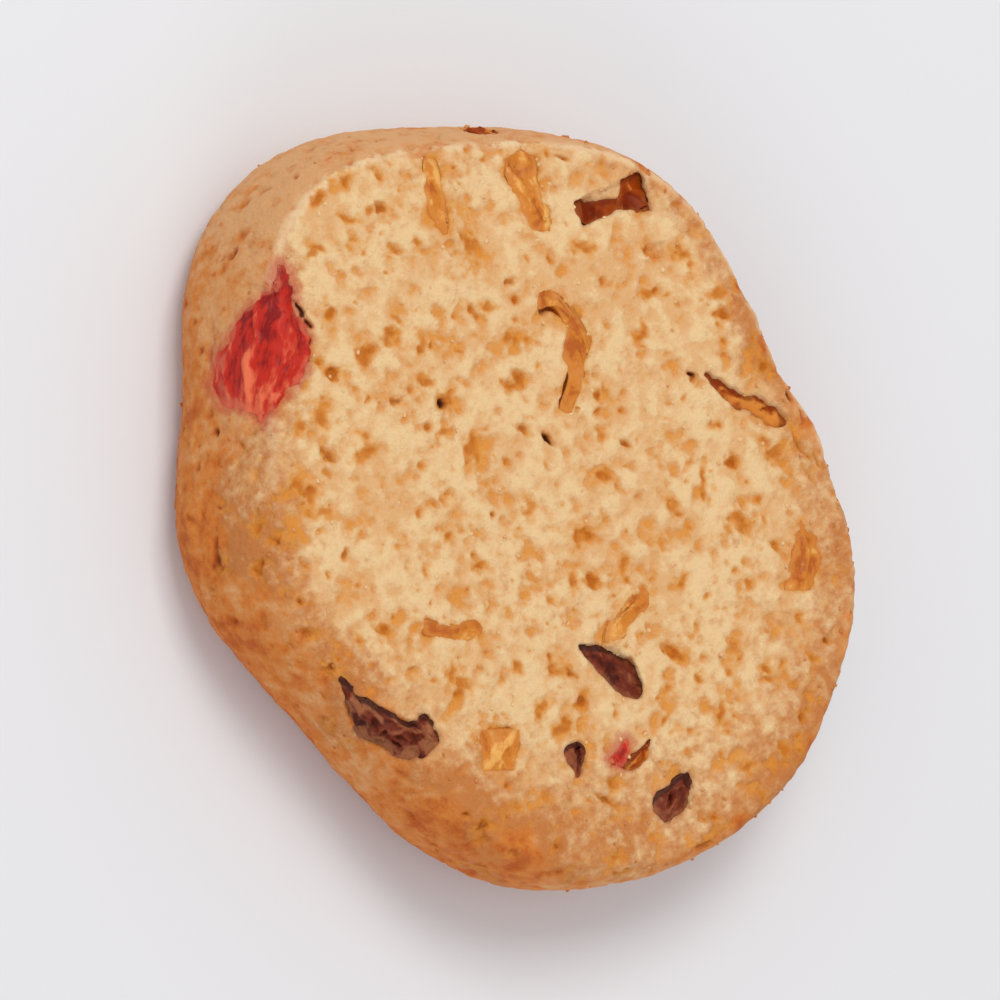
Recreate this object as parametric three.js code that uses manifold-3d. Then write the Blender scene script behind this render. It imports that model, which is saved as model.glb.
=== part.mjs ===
// A fruit cookie: one thick slice of baked dough with pieces of dried and candied fruit set in it.
// Millimetres, +Z up. It lies on its flat base at Z = 0, with its long way across along Y.

import * as THREE from 'three';
import { mergeVertices } from 'three/addons/utils/BufferGeometryUtils.js';
import Module from 'manifold-3d';

const wasm = await Module();
wasm.setup();

// Driving dimensions of the dough
const THICKNESS = 11;
const MEAN_RADIUS = 23.6;
const GIRTH_HEIGHT = 4.2; // height of the widest ring
const FOOT_ROUND = 2.8; // how far the base draws in under the girth
const SHOULDER_ROUND = 1; // how far the face draws in above the girth
const FOOT_FULLNESS = 2; // exponents of the two rounded edges: 2 is an ellipse
const SHOULDER_FULLNESS = 2.2;
const LEAN = { size: 2.5, toward: -100 }; // how far the face sits aside from the base, and which way
const SWELL = 0.22; // waves of the cut face
const SWELL_LENGTH = 15;

// Fruit and the pockets it sits in
const POCKET_GAP = 0.3;
const PROUD = 0.12; // how far fruit stands out of the dough
const CENTRE_DEPTH = 0.2; // depth of a fruit's middle, as a share of its own depth

// How far the slice is from round: waves around its edge, each with a size and the angle of a crest
const OUTLINE_WAVES = [
  { count: 2, size: 2.85, phase: 166 },
  { count: 3, size: 0.27, phase: 161 },
  { count: 5, size: 0.64, phase: 133 },
  { count: 6, size: 0.45, phase: -126 },
];

// The wall slopes in most towards one side, and its shoulder is rolled over most towards another
const SLOPE = { mean: 0.3, swing: 0.6, toward: 190, power: 1 };
const ROLL = { mean: 0.5, swing: 0.6, toward: 215, power: 4 };

// Where the soft slice bulged: angle and width in degrees, height and reach up the wall, and size
const BULGES = [
  { angle: 154, width: 23, height: 3, reach: 6, size: 1.2 },
  { angle: 118, width: 15, height: 4, reach: 7, size: 0.9 },
  { angle: 97, width: 14, height: 11, reach: 4, size: 0.9 },
  { angle: -16, width: 6, height: 9, reach: 8, size: 0.6 },
];

// Facets
const ROUND_STEPS = 72;
const FOOT_STEPS = 4;
const SHOULDER_STEPS = 8;
const FACE_STEPS = 6;
const BASE_STEPS = 2;
const FRUIT_DETAIL = { fine: 3, middling: 2, coarse: 1 };
const TRIM_HALVINGS = 16;

const radians = THREE.MathUtils.degToRad;

// ---- The dough ----

function girthRadius(angle) {
  let radius = MEAN_RADIUS;
  for (const wave of OUTLINE_WAVES) {
    radius += wave.size * Math.cos(wave.count * angle - radians(wave.phase));
  }
  return radius;
}

// Radius of the same slice if it were round
function roundRadius(height) {
  if (height < GIRTH_HEIGHT) {
    const drop = (GIRTH_HEIGHT - height) / GIRTH_HEIGHT;
    const left = Math.max(0, 1 - drop ** FOOT_FULLNESS);
    return MEAN_RADIUS - FOOT_ROUND * (1 - left ** (1 / FOOT_FULLNESS));
  }
  const rise = Math.min(1, (height - GIRTH_HEIGHT) / (THICKNESS - GIRTH_HEIGHT));
  const left = Math.max(0, 1 - rise ** SHOULDER_FULLNESS);
  return MEAN_RADIUS - SHOULDER_ROUND * (1 - left ** (1 / SHOULDER_FULLNESS));
}

function drawnIn(edge, angle, rise) {
  return (edge.mean + edge.swing * Math.cos(angle - radians(edge.toward))) * rise ** edge.power;
}

function turnBetween(a, b) {
  return THREE.MathUtils.euclideanModulo(a - b + Math.PI, 2 * Math.PI) - Math.PI;
}

function wallRadius(angle, height) {
  const rise = THREE.MathUtils.clamp((height - GIRTH_HEIGHT) / (THICKNESS - GIRTH_HEIGHT), 0, 1);
  let radius = (roundRadius(height) * girthRadius(angle)) / MEAN_RADIUS;
  radius -= drawnIn(SLOPE, angle, rise) + drawnIn(ROLL, angle, rise);
  for (const bulge of BULGES) {
    const across = turnBetween(angle, radians(bulge.angle)) / radians(bulge.width);
    const up = (height - bulge.height) / bulge.reach;
    radius += bulge.size * Math.exp(-across * across - up * up);
  }
  return radius;
}

function leanAt(height) {
  const reach = LEAN.size * (height / THICKNESS - 0.5);
  return new THREE.Vector2(reach * Math.cos(radians(LEAN.toward)), reach * Math.sin(radians(LEAN.toward)));
}

function faceSwell(x, y) {
  const wave = (2 * Math.PI) / SWELL_LENGTH;
  const ripple = Math.sin(wave * x + 0.6) * Math.cos(0.7 * wave * y);
  const roll = 0.5 * Math.cos(0.5 * wave * (x + y));
  return SWELL * (ripple - roll);
}

// Meridian of the round slice, from the middle of the base to the middle of the face
function roundProfile() {
  const profile = [];
  const baseRadius = roundRadius(0);
  const rimRadius = roundRadius(THICKNESS);
  for (let i = 0; i < BASE_STEPS; i++) {
    profile.push(new THREE.Vector2((baseRadius * i) / BASE_STEPS, 0));
  }
  for (let i = 0; i < FOOT_STEPS; i++) {
    const height = GIRTH_HEIGHT * (1 - Math.cos(((i / FOOT_STEPS) * Math.PI) / 2));
    profile.push(new THREE.Vector2(roundRadius(height), height));
  }
  for (let i = 0; i < SHOULDER_STEPS; i++) {
    const rise = Math.sin(((i / SHOULDER_STEPS) * Math.PI) / 2);
    const height = GIRTH_HEIGHT + (THICKNESS - GIRTH_HEIGHT) * rise;
    profile.push(new THREE.Vector2(roundRadius(height), height));
  }
  for (let i = 0; i <= FACE_STEPS; i++) {
    profile.push(new THREE.Vector2(rimRadius * (1 - i / FACE_STEPS), THICKNESS));
  }
  return profile;
}

// The round slice pushed out of round, leaned, and waved on its face
function doughGeometry() {
  const geometry = new THREE.LatheGeometry(roundProfile(), ROUND_STEPS);
  geometry.rotateX(Math.PI / 2);
  const position = geometry.attributes.position;
  const point = new THREE.Vector3();
  for (let i = 0; i < position.count; i++) {
    point.fromBufferAttribute(position, i);
    const angle = Math.atan2(point.y, point.x);
    const share = Math.hypot(point.x, point.y) / roundRadius(point.z);
    const radius = share * wallRadius(angle, point.z);
    const lean = leanAt(point.z);
    const x = radius * Math.cos(angle) + lean.x;
    const y = radius * Math.sin(angle) + lean.y;
    const swell = faceSwell(x, y) * (point.z / THICKNESS) ** 4;
    position.setXYZ(i, x, y, point.z + swell);
  }
  return geometry;
}

function insideDough(point, proud) {
  if (point.z < 0 || point.z > THICKNESS + faceSwell(point.x, point.y) + proud) {
    return false;
  }
  const lean = leanAt(point.z);
  const x = point.x - lean.x;
  const y = point.y - lean.y;
  return Math.hypot(x, y) < wallRadius(Math.atan2(y, x), point.z) + proud;
}

// ---- Places on the dough: a point of its surface and the way out from there ----

function onFace(x, y) {
  const point = new THREE.Vector3(x, y, THICKNESS + faceSwell(x, y));
  return { point, out: new THREE.Vector3(0, 0, 1) };
}

function onBase(x, y) {
  return { point: new THREE.Vector3(x, y, 0), out: new THREE.Vector3(0, 0, -1) };
}

function onWall(degrees, height, tilt = 0) {
  const angle = radians(degrees);
  const away = new THREE.Vector3(Math.cos(angle), Math.sin(angle), 0);
  const lean = leanAt(height);
  const point = away.clone().multiplyScalar(wallRadius(angle, height));
  point.add(new THREE.Vector3(lean.x, lean.y, height));
  const out = away.multiplyScalar(Math.cos(radians(tilt)));
  out.z = Math.sin(radians(tilt));
  return { point, out };
}

// ---- Fruit ----

const FRUIT_COLOURS = {
  cherry: { color: 0xb22a1e, roughness: 0.35 },
  raisin: { color: 0x4b231b, roughness: 0.45 },
  sultana: { color: 0x9a5226, roughness: 0.45 },
  peel: { color: 0xd28a35, roughness: 0.4 },
};

// spin is degrees from +X on the face and base, and from level on the wall. bend is how far its ends
// curl aside in mm, pinch is its waist, taper widens its far end, and sunk is how deep it lies.
function piece(fruit, place, seat, size, spin, shape = {}) {
  const plain = { bend: 0, pinch: 0, taper: 0, rough: 0.07, sunk: 0, detail: 'middling' };
  return { name: `${fruit}_${place}`, fruit, seat, size, spin, ...plain, ...shape };
}

// Sizes are length, width and depth
const FRUIT = [
  piece('cherry', 'rim', onWall(120, 9.6, 45), [9.8, 6.6, 5], 12, { rough: 0.09, detail: 'fine' }),
  piece('cherry', 'fleck', onFace(-5.4, -16.9), [1.4, 1.1, 1.2], 60, { detail: 'coarse' }),
  piece('raisin', 'ragged', onFace(-17.6, -6), [7.2, 2.5, 3], -62, { taper: 0.4, rough: 0.16, sunk: 0.1 }),
  piece('raisin', 'half_moon', onFace(-2.7, -11.8), [5.3, 1.9, 2.4], -63, { bend: -1.2, sunk: 0.15 }),
  piece('raisin', 'drop', onFace(-7.5, -15.1), [2.7, 1.5, 1.8], 47, { taper: 0.3, detail: 'coarse' }),
  piece('raisin', 'corner', onFace(-2.9, -21.3), [3.9, 2, 2.2], 29, { rough: 0.14 }),
  piece('sultana', 'bow', onFace(15.3, 13.5), [5.6, 3.2, 3], -13, { pinch: 0.55, taper: 0.15, sunk: 0.5 }),
  piece('sultana', 'slot', onFace(16.2, -2.4), [6.6, 1.3, 2.6], -59, { bend: 0.3, sunk: 0.2 }),
  piece('sultana', 'scrap', onFace(-2.9, -17.4), [2.3, 1.4, 1.5], 17, { taper: 0.3, detail: 'coarse' }),
  piece('sultana', 'wall', onWall(63, 6.9), [3.2, 2.3, 2.2], 8, { detail: 'coarse' }),
  piece('peel', 'curl', onFace(10.4, 16.7), [5.6, 2.4, 2], 95, { bend: 0.3 }),
  piece('peel', 'crescent', onFace(7.4, 7.2), [8, 1.9, 2.4], 73, { bend: 1.7, rough: 0.14 }),
  piece('peel', 'wedge', onFace(13.5, -13), [4.6, 2.4, 2.2], 234, { taper: 0.5 }),
  piece('peel', 'stick', onFace(0.8, -9.2), [4, 1.3, 1.6], 18, { detail: 'coarse' }),
  piece('peel', 'dice', onFace(-12.2, -11.9), [2.6, 2.5, 1.8], -32, { detail: 'coarse' }),
  piece('peel', 'bar', onFace(-8.2, -3.2), [3.6, 1.5, 1.6], -34, { detail: 'coarse' }),
  piece('peel', 'sliver', onFace(3.9, 18), [3.8, 0.9, 1.4], 75, { detail: 'coarse' }),
  piece('raisin', 'back', onWall(8, 5.6), [6.2, 3.4, 2.8], 14, { rough: 0.14 }),
  piece('raisin', 'side', onWall(262, 5), [3.6, 2.2, 2.2], -25, { detail: 'coarse' }),
  piece('cherry', 'back', onWall(-52, 5.4), [4.4, 3, 2.6], 30, { rough: 0.12 }),
  piece('peel', 'back', onWall(-22, 3.6), [3.2, 1.6, 1.8], -10, { detail: 'coarse' }),
  piece('raisin', 'base', onBase(7, 9), [6.4, 3.6, 2.6], 40, { rough: 0.14 }),
  piece('cherry', 'base', onBase(-8.5, -9), [4.2, 3, 2.2], -20, { rough: 0.12, detail: 'coarse' }),
  piece('peel', 'base', onBase(6, -13), [4.4, 1.7, 1.6], 70, { detail: 'coarse' }),
];

function fruitMaterials() {
  const materials = {};
  for (const [fruit, look] of Object.entries(FRUIT_COLOURS)) {
    materials[fruit] = new THREE.MeshStandardMaterial({ ...look, metalness: 0 });
    materials[fruit].name = fruit;
  }
  return materials;
}

// A ball drawn out to the piece's size, then narrowed, bent and made lumpy. Its depth lies along local Z.
// The lumps start at a different place on each piece, so that no two are alike.
function fruitGeometry(piece) {
  const { bend, pinch, taper, rough } = piece;
  const [length, width, depth] = piece.size;
  const start = piece.spin;
  const ball = bareGeometry(new THREE.IcosahedronGeometry(1, FRUIT_DETAIL[piece.detail]));
  const position = ball.attributes.position;
  for (let i = 0; i < position.count; i++) {
    const along = position.getX(i);
    const across = position.getY(i);
    const around = Math.atan2(across, along);
    const lump = 1 + rough * (Math.sin(3 * around + start) + 0.6 * Math.sin(5 * around + 2 * start));
    const waist = (1 - pinch * (1 - along * along)) * (1 + taper * along);
    const x = (length / 2) * along * lump;
    const y = (width / 2) * across * lump * waist + bend * (along * along - 0.5);
    position.setXYZ(i, x, y, (depth / 2) * position.getZ(i));
  }
  ball.computeVertexNormals();
  return ball;
}

// The place and turn of a piece: its depth looks into the dough, its length is turned by its spin
function fruitMatrix(piece) {
  const { point, out } = piece.seat;
  const flat = Math.abs(out.z) > 0.9;
  const level = flat ? new THREE.Vector3(1, 0, 0) : new THREE.Vector3(-out.y, out.x, 0).normalize();
  const upright = new THREE.Vector3().crossVectors(out, level);
  const turn = radians(piece.spin);
  const along = level.multiplyScalar(Math.cos(turn)).addScaledVector(upright, Math.sin(turn));
  const across = new THREE.Vector3().crossVectors(out, along);
  const depth = Math.max(CENTRE_DEPTH * piece.size[2], piece.sunk + 0.2);
  const centre = point.clone().addScaledVector(out, -depth);
  return new THREE.Matrix4().makeBasis(along, across, out).setPosition(centre);
}

// Whatever stands out of the dough is drawn back to just above its surface
function trimToDough(geometry, matrix, proud) {
  const position = geometry.attributes.position;
  const inverse = matrix.clone().invert();
  const centre = new THREE.Vector3().setFromMatrixPosition(matrix);
  const vertex = new THREE.Vector3();
  const trial = new THREE.Vector3();
  for (let i = 0; i < position.count; i++) {
    vertex.fromBufferAttribute(position, i).applyMatrix4(matrix);
    if (insideDough(vertex, proud)) {
      continue;
    }
    let inner = 0;
    let outer = 1;
    for (let halving = 0; halving < TRIM_HALVINGS; halving++) {
      const middle = (inner + outer) / 2;
      trial.lerpVectors(centre, vertex, middle);
      if (insideDough(trial, proud)) {
        inner = middle;
      } else {
        outer = middle;
      }
    }
    trial.lerpVectors(centre, vertex, inner).applyMatrix4(inverse);
    position.setXYZ(i, trial.x, trial.y, trial.z);
  }
  geometry.computeVertexNormals();
}

function fruitMesh(piece, material) {
  const geometry = fruitGeometry(piece);
  const matrix = fruitMatrix(piece);
  const onTheBase = piece.seat.out.z < -0.9;
  trimToDough(geometry, matrix, onTheBase ? 0 : PROUD - piece.sunk);
  const mesh = new THREE.Mesh(geometry, material);
  mesh.name = piece.name;
  matrix.decompose(mesh.position, mesh.quaternion, mesh.scale);
  return mesh;
}

// The hollow that a piece lies in: its untrimmed shape, larger all round by the gap
function pocketSolid(piece) {
  const geometry = fruitGeometry(piece);
  const position = geometry.attributes.position;
  const normal = geometry.attributes.normal;
  for (let i = 0; i < position.count; i++) {
    const x = position.getX(i) + normal.getX(i) * POCKET_GAP;
    const y = position.getY(i) + normal.getY(i) * POCKET_GAP;
    const z = position.getZ(i) + normal.getZ(i) * POCKET_GAP;
    position.setXYZ(i, x, y, z);
  }
  geometry.applyMatrix4(fruitMatrix(piece));
  return solidFrom(geometry);
}

// ---- Closed meshes and solids ----

// Positions only, with shared corners joined and collapsed triangles left out
function bareGeometry(source) {
  const geometry = source.clone();
  geometry.deleteAttribute('normal');
  geometry.deleteAttribute('uv');
  const merged = mergeVertices(geometry);
  const corners = merged.index.array;
  const kept = [];
  for (let i = 0; i < corners.length; i += 3) {
    const [a, b, c] = corners.slice(i, i + 3);
    if (a !== b && b !== c && c !== a) {
      kept.push(a, b, c);
    }
  }
  merged.setIndex(kept);
  return merged;
}

function solidFrom(source) {
  const geometry = bareGeometry(source);
  const vertProperties = new Float32Array(geometry.attributes.position.array);
  const triVerts = new Uint32Array(geometry.index.array);
  return new wasm.Manifold(new wasm.Mesh({ numProp: 3, vertProperties, triVerts }));
}

function geometryFrom(solid) {
  const mesh = solid.getMesh();
  const geometry = new THREE.BufferGeometry();
  geometry.setAttribute('position', new THREE.BufferAttribute(mesh.vertProperties, 3));
  geometry.setIndex(new THREE.BufferAttribute(mesh.triVerts, 1));
  geometry.computeVertexNormals();
  return geometry;
}

// ---- The cookie ----

function doughMesh() {
  let solid = solidFrom(doughGeometry());
  for (const piece of FRUIT) {
    solid = solid.subtract(pocketSolid(piece));
  }
  const material = new THREE.MeshStandardMaterial({ color: 0xdcaa74, roughness: 0.85, metalness: 0 });
  material.name = 'dough';
  const mesh = new THREE.Mesh(geometryFrom(solid), material);
  mesh.name = 'dough';
  return mesh;
}

function fruitCookie() {
  const cookie = new THREE.Group();
  cookie.name = 'fruit_cookie';
  const dough = doughMesh();
  const materials = fruitMaterials();
  cookie.add(dough);
  for (const piece of FRUIT) {
    cookie.add(fruitMesh(piece, materials[piece.fruit]));
  }
  // The middle of its outline goes over the origin
  dough.geometry.computeBoundingBox();
  const middle = dough.geometry.boundingBox.getCenter(new THREE.Vector3());
  cookie.position.set(-middle.x, -middle.y, 0);
  return cookie;
}

const cookie = fruitCookie();

export default cookie;
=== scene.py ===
"""The looks of a fruit cookie: porous cut face, baked walls and base, and fruit set in its dough.

Shapes are worked out in millimetres and turned into metres when a piece is finished.
"""

import math

import bmesh
import bpy
import numpy as np
from mathutils import Matrix, Vector
from mathutils.bvhtree import BVHTree
from mathutils.kdtree import KDTree


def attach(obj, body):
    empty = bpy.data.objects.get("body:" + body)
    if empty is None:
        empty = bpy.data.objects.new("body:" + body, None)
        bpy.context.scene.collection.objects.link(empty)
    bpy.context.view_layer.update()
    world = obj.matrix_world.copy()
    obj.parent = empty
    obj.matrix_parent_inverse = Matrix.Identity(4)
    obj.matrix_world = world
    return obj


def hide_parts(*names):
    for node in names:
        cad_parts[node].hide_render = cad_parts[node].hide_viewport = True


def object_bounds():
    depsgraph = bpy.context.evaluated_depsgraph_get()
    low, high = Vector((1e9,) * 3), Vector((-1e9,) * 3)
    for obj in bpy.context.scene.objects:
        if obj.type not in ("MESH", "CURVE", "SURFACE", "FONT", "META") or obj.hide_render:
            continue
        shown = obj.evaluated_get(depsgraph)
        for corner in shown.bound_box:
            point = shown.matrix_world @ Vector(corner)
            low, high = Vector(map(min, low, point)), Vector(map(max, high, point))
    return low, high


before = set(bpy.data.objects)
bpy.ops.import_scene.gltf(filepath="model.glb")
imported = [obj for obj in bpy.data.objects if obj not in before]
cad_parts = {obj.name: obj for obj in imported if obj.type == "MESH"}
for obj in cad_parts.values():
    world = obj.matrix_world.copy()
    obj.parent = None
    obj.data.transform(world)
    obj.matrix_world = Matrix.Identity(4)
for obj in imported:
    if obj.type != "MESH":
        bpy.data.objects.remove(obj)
CAD_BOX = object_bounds()

MM = 0.001
SEED = 41

# The photograph's view: where its camera looks from, its right and its up, and its scale.
TO_CAMERA = Vector((-0.4096, 0.1639, 0.8974))
CAMERA_RIGHT = Vector((0.7440, -0.5093, 0.4326))
CAMERA_UP = Vector((0.5279, 0.8449, 0.0867))
PHOTO_MM_PER_PIXEL = 0.285
PHOTO_ORIGIN = Vector((564.1, 510.9))  # the pixel that shows the origin of the base
FRAME_SIDE = 66  # what the rendered frame takes in, mm
LENS = 300
SENSOR = 36

# Fineness of the meshes, mm
DOUGH_VOXEL = 0.15
FRUIT_VOXEL = 0.12
GUIDE_VOXEL = 0.3
DOUGH_TRIANGLES = 195_000
THINNINGS = 5  # one can stop before the mesh is down to its triangles

# The CAD solids keep a gap round each fruit: growing both by a bit more than half of it shuts the gap.
SHUT_GAP = 0.22

# Where the photograph's outline leaves the CAD solid's: by direction in degrees, over how many degrees
# and by how much, outwards in mm.
REACHES = {-44: (17, 0.8), 163: (14, -0.6)}

# Fruit outlines in the photograph's pixels. Fruit that it doesn't show, or only edge on, has none.
OUTLINES = {
    "cherry_rim": (
        (523, 455), (525, 460), (526, 467), (529, 472), (529, 476), (528, 481), (523, 485), (521, 489),
        (520, 493), (517, 489), (509, 488), (507, 481), (509, 475), (514, 468), (519, 463), (522, 459),
    ),
    "cherry_fleck": ((598, 568), (601, 564), (603, 565), (602, 570), (599, 570)),
    "raisin_ragged": (
        (535, 549), (539, 551), (543, 555), (547, 557), (551, 559), (556, 558), (559, 562), (557, 567),
        (551, 568), (547, 566), (543, 564), (539, 561), (537, 556),
    ),
    "raisin_half_moon": (
        (590, 542), (594, 542), (599, 543), (603, 546), (605, 549), (606, 554), (604, 555), (600, 553),
        (597, 550), (593, 546),
    ),
    "raisin_drop": ((587, 566), (590, 564), (593, 565), (593, 569), (591, 574), (589, 570)),
    "raisin_corner": ((608, 578), (612, 574), (617, 571), (618, 575), (616, 580), (612, 584), (609, 582)),
    "sultana_scrap": ((602, 569), (605, 567), (608, 563), (608, 567), (605, 572), (601, 571)),
    "sultana_bow": (
        (590, 440), (600, 439), (601, 435), (605, 433), (606, 437), (608, 442), (600, 442), (596, 444),
        (592, 446),
    ),
    "sultana_slot": (
        (619, 479), (624, 481), (628, 484), (633, 485), (637, 487), (640, 491), (637, 492), (632, 489),
        (627, 487), (622, 483),
    ),
    "peel_curl": (
        (574, 430), (578, 428), (581, 432), (581, 437), (583, 441), (586, 445), (583, 448), (579, 446),
        (578, 441), (575, 436),
    ),
    "peel_crescent": (
        (581, 461), (586, 462), (590, 466), (594, 473), (592, 479), (591, 485), (588, 490), (586, 487),
        (589, 480), (587, 476), (587, 471), (589, 469), (585, 465), (582, 467),
    ),
    "peel_wedge": ((643, 514), (646, 518), (647, 524), (645, 530), (639, 530), (641, 521)),
    "peel_stick": ((597, 541), (600, 535), (603, 531), (607, 530), (607, 533), (603, 537), (600, 542)),
    "peel_dice": ((568, 562), (577, 562), (576, 571), (569, 571)),
    "peel_bar": ((555, 536), (561, 538), (568, 536), (568, 540), (562, 541), (556, 540)),
    "peel_sliver": ((555, 431), (558, 431), (559, 439), (561, 446), (560, 449), (556, 442)),
}

# How deep below the face a fruit's top lies, mm. It is flush where it isn't named.
SUNK = {
    "sultana_bow": 0.15,
    "sultana_slot": 0.15,
    "raisin_drop": 0.2,
    "raisin_half_moon": 0.1,
}

# How ragged a fruit's outline is, where it isn't as usual. Past RAGGED_ENOUGH it breaks up in patches.
USUALLY_RAGGED = 0.45
RAGGED = {
    "cherry_rim": 0.65,
    "raisin_ragged": 0.9,
    "peel_crescent": 0.6,
    "sultana_bow": 0.15,
    "raisin_half_moon": 0.25,
    "raisin_corner": 0.25,
    "raisin_drop": 0.2,
    "peel_dice": 0.2,
}

# How much darker a fruit is than others of its kind, from -1 to 1.
DARKER = {
    "sultana_bow": 0.1,
    "sultana_slot": -0.25,
    "sultana_scrap": -0.3,
    "raisin_drop": -0.1,
    "peel_crescent": 0.1,
    "peel_bar": 0.35,
    "peel_wedge": 0.15,
    "peel_curl": -0.25,
}
RAGGED_ENOUGH = 0.5
SQUARE_CUT = ("sultana_bow", "peel_dice", "peel_wedge")

# Pores that the photograph shows, each kind with its depth in mm, its tint and how much painted shade
# darkens its hollow: the pixel at its middle, its length and width in mm, and its turn in degrees from
# level.
PORE_KINDS = {
    "golden": (0.2, 1.0, 0.0),
    "brown": (0.4, 1.0, 0.45),
    "pinhole": (0.8, 1.0, 1.0),
    "crack": (0.5, 0.8, 0.9),
    "fissure": (0.3, 0.7, 0.35),
}
SEEN_PORES = {
    "golden": (
        # upper left
        (545, 435, 1.6, 1.0, -45), (531, 441, 1.7, 1.1, 70), (538, 445, 2.1, 0.8, -15),
        (531, 452, 1.5, 0.9, -20), (539, 450, 1.3, 0.7, -40), (548, 452, 1.5, 1.0, 0),
        (553, 450, 1.2, 0.8, 30), (566, 450, 2.6, 1.0, -35), (570, 465, 1.9, 1.0, -10),
        (548, 472, 1.5, 1.3, 0), (542, 476, 2.3, 1.4, 45), (535, 480, 1.9, 1.0, 0),
        (555, 473, 1.6, 0.9, 90), (576, 472, 1.2, 1.1, 0), (556, 482, 2.0, 0.8, -20),
        (560, 486, 2.2, 1.7, 60), (532, 491, 2.3, 1.6, -60), (527, 493, 2.1, 1.0, 70),
        (541, 498, 2.0, 1.4, 20), (566, 498, 2.6, 1.4, 80),
        # upper right
        (592, 451, 2.3, 1.2, 0), (616, 453, 2.4, 1.6, -45), (607, 451, 1.4, 1.2, 0),
        (608, 461, 1.4, 1.1, 0), (606, 470, 1.9, 0.8, 75), (623, 461, 2.1, 1.1, 0),
        (624, 466, 1.9, 1.1, -20), (634, 478, 1.5, 0.9, 80), (595, 485, 1.3, 0.6, 80),
        (627, 500, 1.7, 1.2, -20), (637, 498, 2.2, 1.7, 0), (622, 492, 1.8, 0.9, 0),
        # lower left
        (530, 508, 1.9, 1.4, 60), (533, 512, 2.0, 1.2, 10), (518, 515, 2.0, 1.2, 75),
        (508, 522, 2.8, 1.0, 75), (518, 524, 1.4, 1.0, 30), (555, 512, 1.0, 0.9, 0),
        (568, 524, 1.7, 0.9, 10), (546, 539, 1.6, 0.8, -30), (541, 541, 1.5, 0.7, 0),
        (564, 551, 2.7, 1.7, -45), (577, 548, 1.2, 0.9, 0),
        # lower right
        (580, 511, 1.9, 1.5, 70), (592, 518, 1.6, 1.2, -60), (612, 511, 1.7, 1.1, -50),
        (628, 515, 2.7, 1.5, -40), (620, 505, 3.1, 0.7, 85), (595, 528, 1.4, 1.1, 0),
        (590, 528, 2.1, 0.9, 80), (615, 527, 1.5, 0.9, 75), (601, 524, 1.5, 1.0, 80),
        (614, 545, 1.3, 1.1, 0), (643, 536, 1.3, 1.0, 0), (619, 550, 1.0, 0.9, 0),
        (626, 549, 1.0, 0.9, 0), (634, 548, 1.4, 1.1, 30), (582, 556, 1.7, 1.3, 30),
        (587, 561, 2.0, 1.2, 0), (624, 558, 2.1, 0.7, 80), (611, 560, 2.2, 0.6, 45),
        (630, 571, 1.9, 1.3, 75), (638, 567, 1.7, 1.2, -40), (646, 546, 1.7, 1.2, 0),
    ),
    "brown": (
        (545, 443, 1.0, 0.9, 0), (575, 459, 0.9, 0.8, 0), (549, 487, 1.3, 1.0, -30),
        (534, 499, 1.4, 1.3, 0), (578, 493, 1.4, 1.0, -20), (602, 496, 1.6, 0.5, -15),
        (617, 481, 0.7, 0.6, 0), (508, 494, 0.9, 0.7, 0), (512, 453, 1.1, 0.7, 50),
        (571, 512, 0.8, 0.6, 80), (538, 521, 1.0, 0.6, 80), (528, 532, 1.1, 0.9, 30),
        (534, 548, 1.1, 0.9, 0), (570, 584, 1.7, 1.4, 0), (565, 581, 0.9, 0.7, 0),
        (589, 549, 1.1, 0.9, 0), (592, 555, 1.4, 1.0, 80), (597, 578, 2.6, 0.6, -20),
        (643, 560, 1.1, 0.9, 0), (649, 542, 0.8, 0.7, 0), (586, 588, 1.1, 0.8, 75),
        (587, 430, 1.6, 0.5, -15),
    ),
    "pinhole": ((560, 487, 0.8, 0.6, 80), (584, 495, 1.3, 0.7, -60)),
    "crack": (  # down the cherry's right side, and on from the slot
        (527, 466, 1.6, 0.5, -60), (529, 469, 1.2, 0.45, -45), (529, 473, 1.0, 0.5, 80),
        (529, 477, 0.9, 0.45, 85), (526, 482, 0.9, 0.4, -15), (617, 480, 1.0, 0.4, -20),
        (640, 485, 1.2, 0.4, -60),
    ),
    "fissure": (  # where the right rim bulges, and down both sides of the wedge
        (643, 497, 2.2, 0.35, -60), (645, 503, 2.6, 0.35, -50), (647, 500, 1.6, 0.3, -65),
        (643, 489, 1.8, 0.35, -70), (641, 522, 3.2, 0.4, 72), (646, 519, 2.6, 0.35, -75),
    ),
}

# Round the rim, by direction in degrees: how far in from the rim the crust starts, over what width its
# colour comes up, how far a first tan reaches over the face, all in mm, and how brown the crust is;
# towards the lower left and the bottom that brown is partly real browning and partly painted shade.
BROWNING_AND_PAINTED_SHADE = {
    -175: (-0.8, 2.8, 4, 0.56),
    -143: (-0.4, 2.4, 6, 0.6),
    -120: (-0.2, 2.2, 11, 0.47),
    -80: (0.2, 1.6, 12, 0.42),
    -40: (0.2, 1.2, 6, 0.44),
    0: (0.1, 0.8, 4, 0.36),
    60: (0.0, 0.6, 4, 0.10),
    95: (0.1, 0.5, 4, 0.10),
    125: (0.0, 0.8, 4, 0.48),
    145: (-1.6, 2.6, 3, 0.44),
    165: (-1.4, 2.8, 3, 0.36),
}


# ---------------------------------------------------------------- numbers

def smooth(value, low, high):
    """0 at low, 1 at high, with a soft start and end. low may be the larger."""
    share = np.clip((value - low) / (high - low), 0, 1)
    return share * share * (3 - 2 * share)


# The noise lattice is turned, so that its rows don't line up with the face.
TURNED = np.array(Matrix.Rotation(0.7, 3, "X") @ Matrix.Rotation(0.5, 3, "Y"))
LATTICE = 64
SEED_SHIFT = 7.31  # how far apart two seeds' noises lie
CORNERS = [(i, j, k) for i in (0, 1) for j in (0, 1) for k in (0, 1)]


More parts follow.
